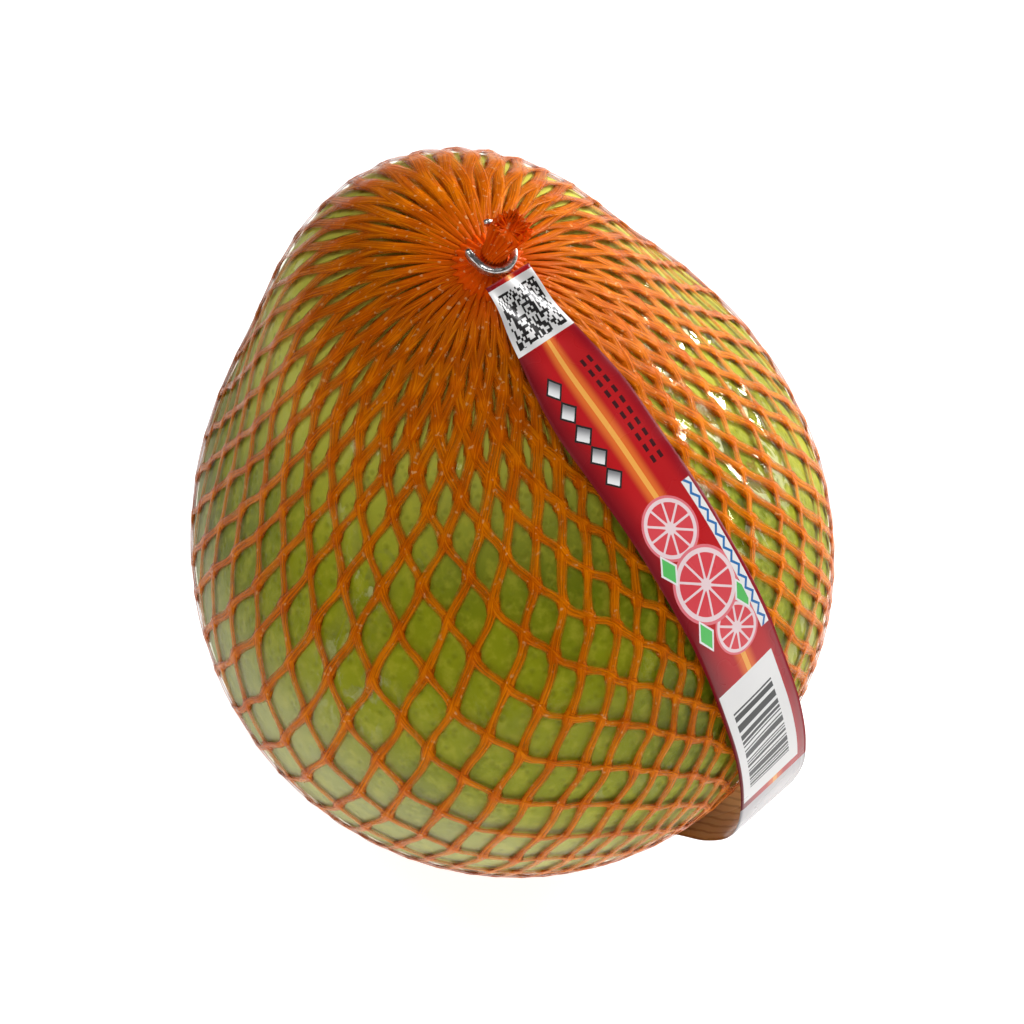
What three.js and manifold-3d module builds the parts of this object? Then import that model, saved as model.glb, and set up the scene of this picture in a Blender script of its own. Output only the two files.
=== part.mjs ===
// A whole pomelo wrapped in clear film, in a stretched plastic net that is gathered and clipped
// at both ends, with a printed plastic strap from clip to clip that serves as its carrying handle.
// Millimetres, +Z up, the strap on the -Y side, the part standing on the strap's lower run at Z = 0.

import * as THREE from "three";
import Module from "manifold-3d";

const wasm = await Module();
wasm.setup();

// Driving dimensions. Angles are in degrees.
// The fruit is a pear-shaped ball: its radius is a sum of powers of the cosine from its stem axis.
const FRUIT_RADIUS = 75;
const FRUIT_SWELL = [-0.288, -0.139, 0.234, 0.241];
const FRUIT_OVAL = -0.09;
const FRUIT_OVAL_TURN = -34;
const FRUIT_LEAN = [-2.7, 2.4];
const FRUIT_COLUMNS = 32;
const FRUIT_ROWS = 20;

// Layers over the rind, each measured outwards from it.
const FILM_INSIDE = 0.4;
const FILM_OUTSIDE = 0.7;
const FILM_OPENING = 4;
const NET_UNDERSIDE = 1.45;
const STRAND_HEIGHT = 0.6;
const STRAP_INSIDE = 2.65;

// The net: strands a family round the fruit, rows of knots between the two gathers.
const NET_STRANDS = 24;
const NET_ROWS = 26;
const NET_CROWDING = 0.3;
const NET_FIRST_ROW = 5.5;
const NET_TOP_LEAN = [-6.3, -16.1];
const NET_BOTTOM_LEAN = [0, -24.4];
const KNOT_HALF = 0.85;
const KNOT_SHARE = 0.27;

// Each gather: [distance from the rind, radius] from the pleated collar to the flared tail.
const TOP_GATHER = [
  [1.4, 9.5],
  [2.3, 8.2],
  [3.0, 5.0],
  [4.2, 2.7],
  [7.6, 2.5],
  [9.6, 3.4],
  [13.0, 5.0],
];
const BOTTOM_GATHER = [
  [1.4, 9.5],
  [2.3, 8.2],
  [3.0, 5.0],
  [4.2, 2.7],
  [7.6, 2.5],
  [10.0, 3.6],
];
const GATHER_FOOT = 1.3;
const GATHER_FOOT_SHARE = 0.5;
const GATHER_PLEATS = 16;
const PLEAT_DEPTH = 0.09;
const TOP_TAIL_BEND = -0.8;

// The clip: flat wire bent round the gather in a horseshoe.
const CLIP_RADIUS = 3.9;
const CLIP_LEG = 5.2;
const CLIP_WALL = 1.0;
const CLIP_HEIGHT = 2.4;
const CLIP_MIDDLE = 5.9;
const CLIP_ARC_STEPS = 10;

// The strap's middle line: [angle from straight up, turn round the fruit, distance from the rind].
const STRAP_ROUTE = [
  [21.6, -109.3, 5.6],
  [26, -107.4, 4.2],
  [35, -104.6, 3.0],
  [54, -100, STRAP_INSIDE],
  [70, -98, STRAP_INSIDE],
  [85, -96.8, STRAP_INSIDE],
  [98, -95.4, 2.8],
  [108, -93.5, 3.5],
  [116, -91.8, 5.0],
  [123, -90.5, 7.0],
  [129, -90, 8.2],
  [135, -90, 6.8],
  [141, -90, 4.0],
  [149, -90, STRAP_INSIDE],
  [160, -90, STRAP_INSIDE],
];
const STRAP_END_ROUTE = [
  [166, 90, 3.2],
  [162.5, 90, 4.0],
  [160.2, 90, 5.4],
];
const STRAP_WIDTH = 20;
const STRAP_TOP_WIDTH = 10.5;
const STRAP_BOTTOM_WIDTH = 13;
const STRAP_TAPER = 0.13;
const STRAP_THICKNESS = 0.5;
const STRAP_FLAT_HALF = 14;
const STRAP_LEVEL_BELOW = 60;
const STRAP_FLAT_SLACK = 0.25;
const STRAP_STEPS = 66;

// The way from each gather to the strap's end there, which its clip's arc faces.
const TOP_AHEAD = new THREE.Vector3(0.2, -1, -0.4);
const BOTTOM_AHEAD = new THREE.Vector3(0, -1, 0);

const radians = THREE.MathUtils.degToRad;
const UP = new THREE.Vector3(0, 0, 1);
const NORMAL_STEP = 0.01;

// Turns straight up into a direction that leans by the two angles, towards +X and +Y.
function leanTurn([leanX, leanY]) {
  const angle = Math.hypot(leanX, leanY);
  const axis = new THREE.Vector3(-leanY, leanX, 0).normalize();
  return new THREE.Quaternion().setFromAxisAngle(axis, radians(angle));
}

function direction(fromTop, turn) {
  const a = radians(fromTop);
  const b = radians(turn);
  return new THREE.Vector3(Math.sin(a) * Math.cos(b), Math.sin(a) * Math.sin(b), Math.cos(a));
}

const stemAxis = UP.clone().applyQuaternion(leanTurn(FRUIT_LEAN));
const ovalAxis = direction(90, FRUIT_OVAL_TURN);
ovalAxis.addScaledVector(stemAxis, -ovalAxis.dot(stemAxis)).normalize();
const ovalSide = new THREE.Vector3().crossVectors(stemAxis, ovalAxis);

function rindRadius(towards) {
  const c = towards.dot(stemAxis);
  const x = towards.dot(ovalAxis);
  const y = towards.dot(ovalSide);
  const swell = FRUIT_SWELL.reduce((sum, amount, i) => sum + amount * c ** (i + 1), 1);
  return FRUIT_RADIUS * (swell + FRUIT_OVAL * (x * x - y * y));
}

function overRind(towards, distance) {
  return towards.clone().multiplyScalar(rindRadius(towards) + distance);
}

// The outward normal of the rind, from two short steps along it.
function rindNormal(towards) {
  const side = new THREE.Vector3().crossVectors(towards, new THREE.Vector3(1, 0, 0)).normalize();
  const other = new THREE.Vector3().crossVectors(towards, side);
  const here = overRind(towards, 0);
  const a = overRind(towards.clone().addScaledVector(side, NORMAL_STEP).normalize(), 0).sub(here);
  const b = overRind(towards.clone().addScaledVector(other, NORMAL_STEP).normalize(), 0).sub(here);
  const normal = a.cross(b).normalize();
  return normal.dot(towards) < 0 ? normal.negate() : normal;
}

function meshGeometry(points, faces) {
  const geometry = new THREE.BufferGeometry();
  geometry.setAttribute("position", new THREE.Float32BufferAttribute(points.flatMap((p) => p.toArray()), 3));
  geometry.setIndex(faces.flat());
  return geometry;
}

// Adds the two triangles of a four-sided face.
function addQuad(faces, a, b, c, d) {
  faces.push([a, b, c], [a, c, d]);
}

// Joins rings of points, alike in number, into one closed body with flat ends.
function loft(rings) {
  const count = rings[0].length;
  const points = rings.flat();
  const faces = [];
  for (let i = 0; i < rings.length - 1; i++) {
    for (let j = 0; j < count; j++) {
      const next = (j + 1) % count;
      addQuad(faces, i * count + j, i * count + next, (i + 1) * count + next, (i + 1) * count + j);
    }
  }
  [0, rings.length - 1].forEach((i, end) => {
    const middle = new THREE.Vector3();
    rings[i].forEach((point) => middle.addScaledVector(point, 1 / count));
    points.push(middle);
    for (let j = 0; j < count; j++) {
      const pair = [i * count + j, i * count + ((j + 1) % count)];
      if (end === 0) pair.reverse();
      faces.push([...pair, points.length - 1]);
    }
  });
  return meshGeometry(points, faces);
}

function toSolid(geometry) {
  const mesh = new wasm.Mesh({
    numProp: 3,
    vertProperties: geometry.getAttribute("position").array,
    triVerts: Uint32Array.from(geometry.getIndex().array),
  });
  mesh.merge();
  return new wasm.Manifold(mesh);
}

function fromSolid(solid) {
  const { vertProperties, triVerts } = solid.getMesh();
  const geometry = new THREE.BufferGeometry();
  geometry.setAttribute("position", new THREE.BufferAttribute(vertProperties, 3));
  geometry.setIndex(new THREE.BufferAttribute(triVerts, 1));
  return geometry;
}

// A skin round the fruit as a list of rows of points. The last row is the rim of the film's opening.
function skinRows(distance) {
  const rows = [];
  for (let i = 1; i <= FRUIT_ROWS; i++) {
    const fromTop = i < FRUIT_ROWS ? (180 * i) / FRUIT_ROWS : 180 - FILM_OPENING;
    const row = [];
    for (let j = 0; j < FRUIT_COLUMNS; j++) {
      row.push(overRind(direction(fromTop, (360 * j) / FRUIT_COLUMNS), distance));
    }
    rows.push(row);
  }
  return rows;
}

// Faces of one skin: a fan at the top, then bands. Its points start at first, the top one first of all.
function skinFaces(first, inwards) {
  const faces = [];
  const at = (i, j) => first + 1 + i * FRUIT_COLUMNS + (j % FRUIT_COLUMNS);
  for (let j = 0; j < FRUIT_COLUMNS; j++) {
    faces.push([first, at(0, j), at(0, j + 1)]);
    for (let i = 0; i < FRUIT_ROWS - 1; i++) {
      addQuad(faces, at(i, j), at(i + 1, j), at(i + 1, j + 1), at(i, j + 1));
    }
  }
  return inwards ? faces.map(([a, b, c]) => [a, c, b]) : faces;
}

// The fruit: the whole rind surface, closed at the bottom by a last fan.
function fruitGeometry() {
  const points = [overRind(UP, 0), ...skinRows(0).flat(), overRind(UP.clone().negate(), 0)];
  const faces = skinFaces(0, false);
  const last = 1 + (FRUIT_ROWS - 1) * FRUIT_COLUMNS;
  for (let j = 0; j < FRUIT_COLUMNS; j++) {
    faces.push([last + j, points.length - 1, last + ((j + 1) % FRUIT_COLUMNS)]);
  }
  return meshGeometry(points, faces);
}

// The film: an outer and an inner skin joined at the rim of the opening under the fruit.
function filmGeometry() {
  const outer = skinRows(FILM_OUTSIDE);
  const inner = skinRows(FILM_INSIDE);
  const points = [overRind(UP, FILM_OUTSIDE), ...outer.flat(), overRind(UP, FILM_INSIDE), ...inner.flat()];
  const innerFirst = 1 + FRUIT_ROWS * FRUIT_COLUMNS;
  const faces = [...skinFaces(0, false), ...skinFaces(innerFirst, true)];
  const rim = 1 + (FRUIT_ROWS - 1) * FRUIT_COLUMNS;
  for (let j = 0; j < FRUIT_COLUMNS; j++) {
    const next = (j + 1) % FRUIT_COLUMNS;
    addQuad(faces, rim + j, innerFirst + rim + j, innerFirst + rim + next, rim + next);
  }
  return meshGeometry(points, faces);
}

// A direction in the net's own angles: its lean passes evenly from the top gather to the bottom one.
function netDirection(fromTop, turn) {
  const share = (1 + Math.cos(radians(fromTop))) / 2;
  const lean = NET_TOP_LEAN.map((top, i) => top * share + NET_BOTTOM_LEAN[i] * (1 - share));
  return direction(fromTop, turn).applyQuaternion(leanTurn(lean));
}

// Strands with a flat underside and a ridge, crossing in knots. Each knot has a peak and four corners,
// up, right, down and left, which the strands on either side of a corner share.
function strandsGeometry() {
  const points = [];
  const faces = [];
  const halfTurn = 180 / NET_STRANDS;
  for (let i = 0; i <= NET_ROWS; i++) {
    const t = i / NET_ROWS;
    const eased = t - (NET_CROWDING * Math.sin(2 * Math.PI * t)) / (2 * Math.PI);
    const fromTop = NET_FIRST_ROW + (180 - 2 * NET_FIRST_ROW) * eased;
    for (let j = 0; j < NET_STRANDS; j++) {
      const turn = (2 * j + (i % 2)) * halfTurn;
      const radius = rindRadius(netDirection(fromTop, turn));
      const spread = radius * Math.sin(radians(fromTop));
      const half = Math.min(KNOT_HALF, KNOT_SHARE * spread * radians(2 * halfTurn));
      const along = THREE.MathUtils.radToDeg(half / radius);
      const across = THREE.MathUtils.radToDeg(half / spread);
      points.push(
        overRind(netDirection(fromTop, turn), NET_UNDERSIDE + STRAND_HEIGHT),
        overRind(netDirection(fromTop - along, turn), NET_UNDERSIDE),
        overRind(netDirection(fromTop, turn + across), NET_UNDERSIDE),
        overRind(netDirection(fromTop + along, turn), NET_UNDERSIDE),
        overRind(netDirection(fromTop, turn - across), NET_UNDERSIDE),
      );
    }
  }
  const knot = (i, j) => {
    const peak = 5 * (i * NET_STRANDS + ((j + NET_STRANDS) % NET_STRANDS));
    return { peak, up: peak + 1, right: peak + 2, down: peak + 3, left: peak + 4 };
  };
  for (let i = 0; i <= NET_ROWS; i++) {
    for (let j = 0; j < NET_STRANDS; j++) {
      const k = knot(i, j);
      addQuad(faces, k.up, k.right, k.down, k.left);
      if (i === 0) faces.push([k.up, k.left, k.peak], [k.right, k.up, k.peak]);
      if (i === NET_ROWS) {
        faces.push([k.down, k.right, k.peak], [k.left, k.down, k.peak]);
        continue;
      }
      const right = knot(i + 1, j + (i % 2));
      addQuad(faces, k.right, k.peak, right.peak, right.up);
      addQuad(faces, k.peak, k.down, right.left, right.peak);
      addQuad(faces, k.down, k.right, right.up, right.left);
      const left = knot(i + 1, j + (i % 2) - 1);
      addQuad(faces, k.peak, k.left, left.up, left.peak);
      addQuad(faces, k.down, k.peak, left.peak, left.right);
      addQuad(faces, k.left, k.down, left.right, left.up);
    }
  }
  return meshGeometry(points, faces);
}

// The frame of a gather: its foot on the rind, out of the fruit, and towards the strap's end.
function gatherFrame(fromTop, strapTowards) {
  const towards = netDirection(fromTop, 0);
  const foot = overRind(towards, 0);
  const out = rindNormal(towards);
  const ahead = strapTowards.clone().addScaledVector(out, -strapTowards.dot(out)).normalize();
  return { foot, out, ahead, side: new THREE.Vector3().crossVectors(ahead, out) };
}

const topFrame = gatherFrame(0, TOP_AHEAD);
const bottomFrame = gatherFrame(180, BOTTOM_AHEAD);

function inFrame({ foot, out, ahead, side }, x, y, z) {
  return foot.clone().addScaledVector(side, x).addScaledVector(ahead, y).addScaledVector(out, z);
}

// A gather: a collar of pleats that lies on the net, narrows through the clip and flares out again.
// Past the clip its rings shift sideways, so that the tail bends over.
function gatherGeometry(frame, profile, tailBend) {
  const count = 2 * GATHER_PLEATS;
  const clipTop = CLIP_MIDDLE + CLIP_HEIGHT / 2;
  const ring = (height, radius) => {
    const bend = tailBend * Math.max(0, height - clipTop);
    const points = [];
    for (let j = 0; j < count; j++) {
      const a = (2 * Math.PI * j) / count;
      const r = radius * (j % 2 ? 1 - PLEAT_DEPTH : 1 + PLEAT_DEPTH);
      // Wide rings follow the curve of the fruit under them.
      const drop = (r * r) / (2 * FRUIT_RADIUS);
      points.push(inFrame(frame, r * Math.cos(a) + bend, r * Math.sin(a), height - drop));
    }
    return points;
  };
  const foot = [[GATHER_FOOT, profile[0][1] * GATHER_FOOT_SHARE]];
  return loft([...foot, ...profile].map(([height, radius]) => ring(height, radius)));
}

function netGeometry() {
  const solid = toSolid(strandsGeometry())
    .add(toSolid(gatherGeometry(topFrame, TOP_GATHER, TOP_TAIL_BEND)))
    .add(toSolid(gatherGeometry(bottomFrame, BOTTOM_GATHER, 0)));
  return fromSolid(solid);
}

// A clip: a rectangle of wire carried along a horseshoe that opens away from the strap.
function clipGeometry(frame) {
  const middle = [[-CLIP_RADIUS, -CLIP_LEG]];
  for (let i = 0; i <= CLIP_ARC_STEPS; i++) {
    const a = Math.PI * (1 - i / CLIP_ARC_STEPS);
    middle.push([CLIP_RADIUS * Math.cos(a), CLIP_RADIUS * Math.sin(a)]);
  }
  middle.push([CLIP_RADIUS, -CLIP_LEG]);
  const rings = middle.map(([x, y], i) => {
    const before = middle[Math.max(i - 1, 0)];
    const after = middle[Math.min(i + 1, middle.length - 1)];
    const length = Math.hypot(after[0] - before[0], after[1] - before[1]);
    const outX = (-(after[1] - before[1]) / length) * (CLIP_WALL / 2);
    const outY = ((after[0] - before[0]) / length) * (CLIP_WALL / 2);
    const low = CLIP_MIDDLE - CLIP_HEIGHT / 2;
    const high = CLIP_MIDDLE + CLIP_HEIGHT / 2;
    return [
      inFrame(frame, x - outX, y - outY, low),
      inFrame(frame, x + outX, y + outY, low),
      inFrame(frame, x + outX, y + outY, high),
      inFrame(frame, x - outX, y - outY, high),
    ];
  });
  return loft(rings);
}

const floorHeight = -(rindRadius(UP.clone().negate()) + STRAP_INSIDE + STRAP_THICKNESS);

// The strap: a thin rectangle carried along the route, narrower where a clip holds it. The middle of
// the rectangle's inner face is on the route. On the upper half it lies level with the rind, and its
// lower run is flat on the floor.
function strapGeometry() {
  const toPoint = ([fromTop, turn, distance]) => overRind(direction(fromTop, turn), distance);
  const flatTop = floorHeight + STRAP_THICKNESS;
  const flat = [-1, -0.5, 0, 0.5, 1].map((s) => new THREE.Vector3(0, s * STRAP_FLAT_HALF, flatTop));
  const route = [...STRAP_ROUTE.map(toPoint), ...flat, ...STRAP_END_ROUTE.map(toPoint)];
  const curve = new THREE.CatmullRomCurve3(route, false, "centripetal");
  const rings = [];
  for (let i = 0; i <= STRAP_STEPS; i++) {
    const s = i / STRAP_STEPS;
    const point = curve.getPointAt(s);
    const onFlat = Math.abs(point.z - flatTop) < STRAP_FLAT_SLACK && Math.abs(point.y) < STRAP_FLAT_HALF;
    if (onFlat) point.z = flatTop;
    const along = curve.getTangentAt(s);
    const away = point.clone().normalize();
    away.lerp(rindNormal(away), THREE.MathUtils.smoothstep(point.z, -STRAP_LEVEL_BELOW, 0)).normalize();
    const across = new THREE.Vector3().crossVectors(along, away).normalize();
    const out = new THREE.Vector3().crossVectors(across, along).normalize();
    const fullTop = THREE.MathUtils.smoothstep(s, 0, STRAP_TAPER);
    const fullBottom = THREE.MathUtils.smoothstep(1 - s, 0, STRAP_TAPER);
    const narrowTop = (STRAP_WIDTH - STRAP_TOP_WIDTH) * (1 - fullTop);
    const narrowBottom = (STRAP_WIDTH - STRAP_BOTTOM_WIDTH) * (1 - fullBottom);
    const half = (STRAP_WIDTH - narrowTop - narrowBottom) / 2;
    rings.push([
      point.clone().addScaledVector(across, -half),
      point.clone().addScaledVector(across, -half).addScaledVector(out, STRAP_THICKNESS),
      point.clone().addScaledVector(across, half).addScaledVector(out, STRAP_THICKNESS),
      point.clone().addScaledVector(across, half),
    ]);
  }
  return loft(rings);
}

const group = new THREE.Group();

function addPart(name, geometry, colour, roughness, metalness) {
  geometry.computeVertexNormals();
  const material = new THREE.MeshStandardMaterial({ color: colour, roughness, metalness });
  const mesh = new THREE.Mesh(geometry, material);
  mesh.name = name;
  group.add(mesh);
  return material;
}

addPart("pomelo", fruitGeometry(), 0x93a534, 0.5, 0);
const clear = addPart("film", filmGeometry(), 0xe8ecd8, 0.12, 0);
clear.transparent = true;
clear.opacity = 0.3;
addPart("net", netGeometry(), 0xd9680f, 0.4, 0);
addPart("top_clip", clipGeometry(topFrame), 0xc4c4c2, 0.3, 1);
addPart("bottom_clip", clipGeometry(bottomFrame), 0xc4c4c2, 0.3, 1);
addPart("label_strap", strapGeometry(), 0xb5101c, 0.3, 0);

// The origin goes to the middle of the base.
const box = new THREE.Box3().setFromObject(group);
const middle = box.getCenter(new THREE.Vector3());
group.position.set(-middle.x, -middle.y, -box.min.z);

export default group;
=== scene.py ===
import math

import bpy
import numpy as np
from mathutils import Matrix, Vector


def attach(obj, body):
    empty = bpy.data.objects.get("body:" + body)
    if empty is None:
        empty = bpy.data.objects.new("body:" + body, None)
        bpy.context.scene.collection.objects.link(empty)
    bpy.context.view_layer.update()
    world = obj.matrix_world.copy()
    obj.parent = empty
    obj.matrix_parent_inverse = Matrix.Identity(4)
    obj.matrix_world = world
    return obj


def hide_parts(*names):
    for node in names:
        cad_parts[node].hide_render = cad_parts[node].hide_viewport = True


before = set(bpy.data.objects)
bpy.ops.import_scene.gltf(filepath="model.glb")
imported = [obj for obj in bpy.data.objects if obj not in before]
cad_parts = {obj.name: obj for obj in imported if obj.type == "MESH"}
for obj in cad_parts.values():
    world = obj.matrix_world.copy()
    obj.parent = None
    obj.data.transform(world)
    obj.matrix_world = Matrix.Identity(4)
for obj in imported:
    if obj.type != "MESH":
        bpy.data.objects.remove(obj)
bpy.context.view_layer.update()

# ---------------------------------------------------------------------------------------------------
# Camera: 55 cm from the fruit, which it looks down at from the left of the strap, rolled by 10 degrees.
# Its shift puts the middle of the fruit where the picture has it. Turns and heights are in degrees.
FRUIT_MIDDLE = np.array([-0.797, 1.293, 89.784])
CAMERA_TURN, CAMERA_HEIGHT, CAMERA_ROLL = -38, 40, 10
CAMERA_DISTANCE = 0.55
CAMERA_LENS, CAMERA_SENSOR = 87.0, 36
CAMERA_SHIFT = (0.0177, -0.0314)


def seen_at(turn, height):
    """Unit vector from the fruit to what stands at a turn from the front and at a height over it."""
    turn, height = math.radians(turn), math.radians(height)
    return Vector((
        math.sin(turn) * math.cos(height),
        -math.cos(turn) * math.cos(height),
        math.sin(height),
    ))


turn, roll = math.radians(CAMERA_TURN), math.radians(CAMERA_ROLL)
back = seen_at(CAMERA_TURN, CAMERA_HEIGHT)
level = Vector((math.cos(turn), math.sin(turn), 0))
upright = back.cross(level)
camera_right = level * math.cos(roll) - upright * math.sin(roll)
camera_up = level * math.sin(roll) + upright * math.cos(roll)
turned = Matrix((camera_right, camera_up, back)).transposed().to_4x4()

camera_data = bpy.data.cameras.new("camera")
camera_data.sensor_width = CAMERA_SENSOR
camera_data.lens = CAMERA_LENS
camera_data.shift_x, camera_data.shift_y = CAMERA_SHIFT
camera = bpy.data.objects.new("camera", camera_data)
camera.matrix_world = Matrix.Translation(Vector(FRUIT_MIDDLE / 1000) + CAMERA_DISTANCE * back) @ turned
bpy.context.scene.collection.objects.link(camera)
bpy.context.scene.camera = camera
bpy.context.scene.view_settings.view_transform = "Standard"


# ---------------------------------------------------------------------------------------------------
# Studio: a plain white floor that glows a little, a dim even sky, and soft lamps, mostly on the right.
# Each lamp has a turn and a height in degrees as seen from the fruit, a distance, a width and a power.
FLOOR_HALF, FLOOR_GREY, FLOOR_GLOW = 12.0, 0.50, 0.93
SKY_GLOW = 0.10
WHITE = (1, 1, 1, 1)
LAMPS = {
    "right_lamp": (76, 33, 0.9, 0.36, 6.0),
    "low_lamp": (72, 13, 0.9, 0.20, 3.7),
    "left_lamp": (-95, 62, 0.9, 0.16, 0.9),
    "front_lamp": (-25, 70, 1.0, 0.35, 2.0),
}


def put(tree, kind, *joins, **settings):
    """Adds one shader node with its settings. Its first inputs are joined to a socket or set to a
    value."""
    node = tree.nodes.new("ShaderNode" + kind)
    for name, value in settings.items():
        setattr(node, name, value)
    for place, value in zip(node.inputs, joins):
        if isinstance(value, bpy.types.NodeSocket):
            tree.links.new(value, place)
        elif value is not None:
            place.default_value = value
    return node


def filled(node, **values):
    """The node, with inputs set or joined by their names, where _ stands for a space."""
    for name, value in values.items():
        place = node.inputs[name.replace("_", " ")]
        if isinstance(value, bpy.types.NodeSocket):
            node.id_data.links.new(value, place)
        else:
            place.default_value = value
    return node


def plastic(tree, **values):
    """A Principled shader with its inputs set or joined by their names."""
    return filled(put(tree, "BsdfPrincipled"), **values)


def finish_called(name):
    """A new material, its tree, and the input of its only node, the output."""
    material = bpy.data.materials.new(name)
    material.use_nodes = True
    tree = material.node_tree
    tree.nodes.clear()
    return material, tree, put(tree, "OutputMaterial").inputs[0]


floor_mesh = bpy.data.meshes.new("floor")
corners = [(x * FLOOR_HALF, y * FLOOR_HALF, 0) for x, y in ((-1, -1), (1, -1), (1, 1), (-1, 1))]
floor_mesh.from_pydata(corners, [], [(0, 1, 2, 3)])
floor = bpy.data.objects.new("floor", floor_mesh)
bpy.context.scene.collection.objects.link(floor)
paper, paper_tree, paper_out = finish_called("white_paper")
sheet = plastic(
    paper_tree, Base_Color=(FLOOR_GREY, FLOOR_GREY, FLOOR_GREY, 1), Roughness=0.9,
    Emission_Color=WHITE, Emission_Strength=FLOOR_GLOW,
)
paper_tree.links.new(sheet.outputs[0], paper_out)
floor_mesh.materials.append(paper)

sky = bpy.data.worlds.new("sky")
sky.use_nodes = True
filled(sky.node_tree.nodes["Background"], Color=WHITE, Strength=SKY_GLOW)
bpy.context.scene.world = sky

for name, (turn, height, distance, width, power) in LAMPS.items():
    lamp_data = bpy.data.lights.new(name, "AREA")
    lamp_data.shape = "DISK"
    lamp_data.size = width
    lamp_data.energy = power
    lamp = bpy.data.objects.new(name, lamp_data)
    away = seen_at(turn, height)
    lamp.location = Vector(FRUIT_MIDDLE / 1000) + away * distance
    lamp.rotation_euler = away.to_track_quat("Z", "Y").to_euler()
    bpy.context.scene.collection.objects.link(lamp)


# ---------------------------------------------------------------------------------------------------
# Pomelo: one pear-shaped fruit with a waxy rind, full of small oil pits. Angles are in degrees and
# lengths in millimetres from the middle of the fruit, as in the part's own source.
FRUIT_RADIUS = 75
FRUIT_SWELL = (-0.288, -0.139, 0.234, 0.241)
FRUIT_OVAL = -0.09
FRUIT_OVAL_TURN = -34
FRUIT_LEAN = (-2.7, 2.4)
RIND_ROWS, RIND_COLUMNS = 200, 360
RIND_WAVE = 0.09
PIT_DEPTH = 0.00022
CLOUDS_PER_M, FLECKS_PER_M, PITS_PER_M, MOTTLES_PER_M = 26, 95, 430, 420
RIND_DEEP, RIND_BRIGHT = (0.19, 0.230, 0.002, 1), (0.36, 0.385, 0.006, 1)
# The lamp-side colour here and the crown colour below are painted light.
RIND_FOOT, RIND_LIT_SIDE = (0.56, 0.54, 0.10, 1), (0.60, 0.54, 0.05, 1)
RIND_LIT_CROWN, RIND_MOTTLE = (0.74, 0.74, 0.13, 1), (0.66, 0.62, 0.06, 1)
RIND_PIT, RIND_FLECK = (0.17, 0.18, 0.004, 1), (0.20, 0.13, 0.03, 1)


def direction(from_top, turn):
    """Unit vectors: straight up tilted by from_top, then turned about the vertical by turn."""
    tilt, turn = np.broadcast_arrays(np.radians(from_top), np.radians(turn))
    return np.stack([np.sin(tilt) * np.cos(turn), np.sin(tilt) * np.sin(turn), np.cos(tilt)], -1)


def leaned(vectors, lean_x, lean_y):
    """Vectors turned so that straight up would lean by the two angles towards X and Y: the part along
    the turning axis stays, and the rest turns in its plane."""
    lean_x, lean_y = np.broadcast_arrays(np.asarray(lean_x, float), np.asarray(lean_y, float))
    angle = np.maximum(np.hypot(lean_x, lean_y), 1e-9)
    axis = np.stack([-lean_y / angle, lean_x / angle, 0 * angle], -1)
    turn = np.radians(angle)[..., None]
    along = axis * (axis * vectors).sum(-1, keepdims=True)
    return vectors * np.cos(turn) + np.cross(axis, vectors) * np.sin(turn) + along * (1 - np.cos(turn))


def unit(vectors):
    """Each vector divided by its own length."""
    return vectors / np.linalg.norm(vectors, axis=-1, keepdims=True)


stem_axis = leaned(np.array([0.0, 0.0, 1.0]), *FRUIT_LEAN)
oval_axis = direction(90, FRUIT_OVAL_TURN)
oval_axis = unit(oval_axis - stem_axis * (oval_axis @ stem_axis))
oval_side = np.cross(stem_axis, oval_axis)


def rind_radius(towards):
    """Radius of the rind: a sum of powers of the cosine from the stem axis, and an oval term."""
    cosine = towards @ stem_axis
    swell = 1 + sum(amount * cosine ** (i + 1) for i, amount in enumerate(FRUIT_SWELL))
    oval = (towards @ oval_axis) ** 2 - (towards @ oval_side) ** 2
    return FRUIT_RADIUS * (swell + FRUIT_OVAL * oval)


def over_rind(towards, distance):
    """Points at a distance over the rind, measured away from the middle of the fruit."""
    return towards * (rind_radius(towards) + distance)[..., None]


def rind_normal(towards):
    """Outward normals of the rind, from two short steps along it."""
    side = unit(np.cross(towards, np.array([1.0, 0.0, 0.0])))
    other = np.cross(towards, side)
    here = over_rind(towards, 0)
    a = over_rind(unit(towards + 0.01 * side), 0) - here
    b = over_rind(unit(towards + 0.01 * other), 0) - here
    normal = unit(np.cross(a, b))
    return normal * np.sign((normal * towards).sum(-1, keepdims=True))


def smooth(share):
    """A smooth passage from 0 to 1 as share goes from 0 to 1."""
    share = np.clip(share, 0, 1)
    return share * share * (3 - 2 * share)


def grid_faces(rows, columns, closed=True):
    """Four-sided faces between rows of points. Closed joins each row's end to its start."""
    i = np.arange(rows - 1)[:, None]
    j = np.arange(columns if closed else columns - 1)[None, :]
    after = (j + 1) % columns
    corners = [i * columns + j, (i + 1) * columns + j, (i + 1) * columns + after, i * columns + after]
    return np.stack([c + 0 * (i + j) for c in corners], -1).reshape(-1, 4)


def fan_faces(middle, ring, flip=False):
    """Triangles from one middle point to each side of a ring of points."""
    after = np.roll(ring, -1)
    first, second = (after, ring) if flip else (ring, after)
    return np.stack([np.full(len(ring), middle), first, second], -1)


def piece(name, points, faces, material, nodes, fields=()):
    """A smooth mesh object on the part's body: points in millimetres from the middle of the fruit,
    lists of faces, and fields of three numbers a point that its material reads by name."""
    mesh = bpy.data.meshes.new(name)
    places = (np.asarray(points).reshape(-1, 3) + FRUIT_MIDDLE) / 1000
    mesh.from_pydata(places.tolist(), [], [face for block in faces for face in block.tolist()])
    for field, values in fields:
        attribute = mesh.attributes.new(field, "FLOAT_VECTOR", "POINT")
        attribute.data.foreach_set("vector", np.asarray(values, np.float32).ravel())
    mesh.materials.append(material)
    mesh.shade_smooth()
    made = bpy.data.objects.new(name, mesh)
    bpy.context.scene.collection.objects.link(made)
    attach(made, "root")
    if nodes:
        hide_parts(*nodes)
    return made


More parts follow.
